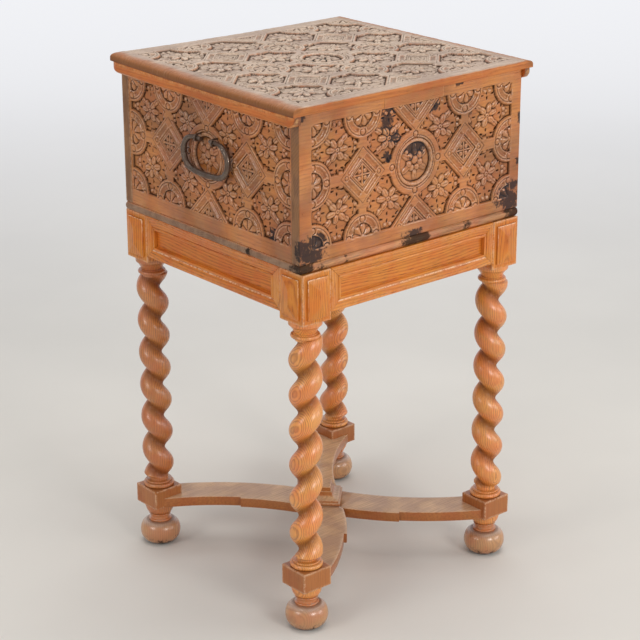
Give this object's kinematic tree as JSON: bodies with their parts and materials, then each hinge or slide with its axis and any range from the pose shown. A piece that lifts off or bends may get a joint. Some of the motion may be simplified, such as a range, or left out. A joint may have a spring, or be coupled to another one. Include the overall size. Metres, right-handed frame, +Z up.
{
  "type": "carved box on twist-turned stand",
  "caption": "Carved oak box with hinged lid and bail handles, on a stand with barley-twist legs, bun feet and a curved cross stretcher.",
  "frame": {"origin": "on the floor, under the middle of the stand", "axes": "+X along the carved front from left to right, +Y from the front to the back, +Z up"},
  "size_m": [0.515, 0.4866, 0.9],
  "materials": {
    "carved_oak": "waxed old oak, carved in low relief, dark in the recesses and worn light on the edges",
    "weathered_oak": "dry greyed oak, carved in low relief",
    "stained_oak": "dark, stained and rubbed oak",
    "cleat_oak": "warm waxed oak",
    "stand_oak": "polished orange-brown oak with open grain",
    "patch_oak": "reddish waxed oak",
    "iron": "forged iron, dark brown-black, rubbed"
  },
  "bodies": {
    "root": {"bottom_board": "stained_oak", "front_board": "carved_oak", "lock_patch": "patch_oak", "back_board": "carved_oak", "left_end_board": "carved_oak", "right_end_board": "carved_oak", "left_hinge_back_leaf": "iron", "left_hinge_pin": "iron", "left_handle_front_staple": "iron", "left_handle_back_staple": "iron", "right_hinge_back_leaf": "iron", "right_hinge_pin": "iron", "right_handle_front_staple": "iron", "right_handle_back_staple": "iron", "front_left_leg": "stand_oak", "front_left_foot": "stand_oak", "front_left_stretcher_arm": "stand_oak", "front_left_lower_peg": "cleat_oak", "front_left_upper_peg": "cleat_oak", "front_right_leg": "stand_oak", "front_right_foot": "stand_oak", "front_right_stretcher_arm": "stand_oak", "front_right_lower_peg": "cleat_oak", "front_right_upper_peg": "cleat_oak", "back_left_leg": "stand_oak", "back_left_foot": "stand_oak", "back_left_stretcher_arm": "stand_oak", "back_left_lower_peg": "cleat_oak", "back_left_upper_peg": "cleat_oak", "back_right_leg": "stand_oak", "back_right_foot": "stand_oak", "back_right_stretcher_arm": "stand_oak", "back_right_lower_peg": "cleat_oak", "back_right_upper_peg": "cleat_oak", "front_rail": "stand_oak", "front_rail_frame": "stand_oak", "front_jewel_1": "stand_oak", "front_jewel_2": "stand_oak", "right_rail": "stand_oak", "right_rail_frame": "stand_oak", "right_jewel_1": "stand_oak", "right_jewel_2": "stand_oak", "back_rail": "stand_oak", "back_rail_frame": "stand_oak", "back_jewel_1": "stand_oak", "back_jewel_2": "stand_oak", "left_rail": "stand_oak", "left_rail_frame": "stand_oak", "left_jewel_1": "stand_oak", "left_jewel_2": "stand_oak", "stretcher_centre_block": "stand_oak"},
    "lid": {"lid_board": "weathered_oak", "left_lid_cleat": "cleat_oak", "right_lid_cleat": "cleat_oak", "left_hinge_lid_leaf": "iron", "right_hinge_lid_leaf": "iron"},
    "left_handle": {"left_handle_bail": "iron"},
    "right_handle": {"right_handle_bail": "iron"}
  },
  "joints": [
    {"name": "lid_hinge", "type": "hinge", "parent": "root", "child": "lid", "pos_m": [0, 0.2358, 0.884], "axis": [-1, 0, 0], "range_deg": [0, 105]},
    {"name": "left_handle_swing", "type": "hinge", "parent": "root", "child": "left_handle", "pos_m": [-0.248, -0.007, 0.8036], "axis": [0, 1, 0], "range_deg": [0, 165]},
    {"name": "right_handle_swing", "type": "hinge", "parent": "root", "child": "right_handle", "pos_m": [0.248, -0.007, 0.8036], "axis": [0, -1, 0], "range_deg": [0, 165]}
  ]
}
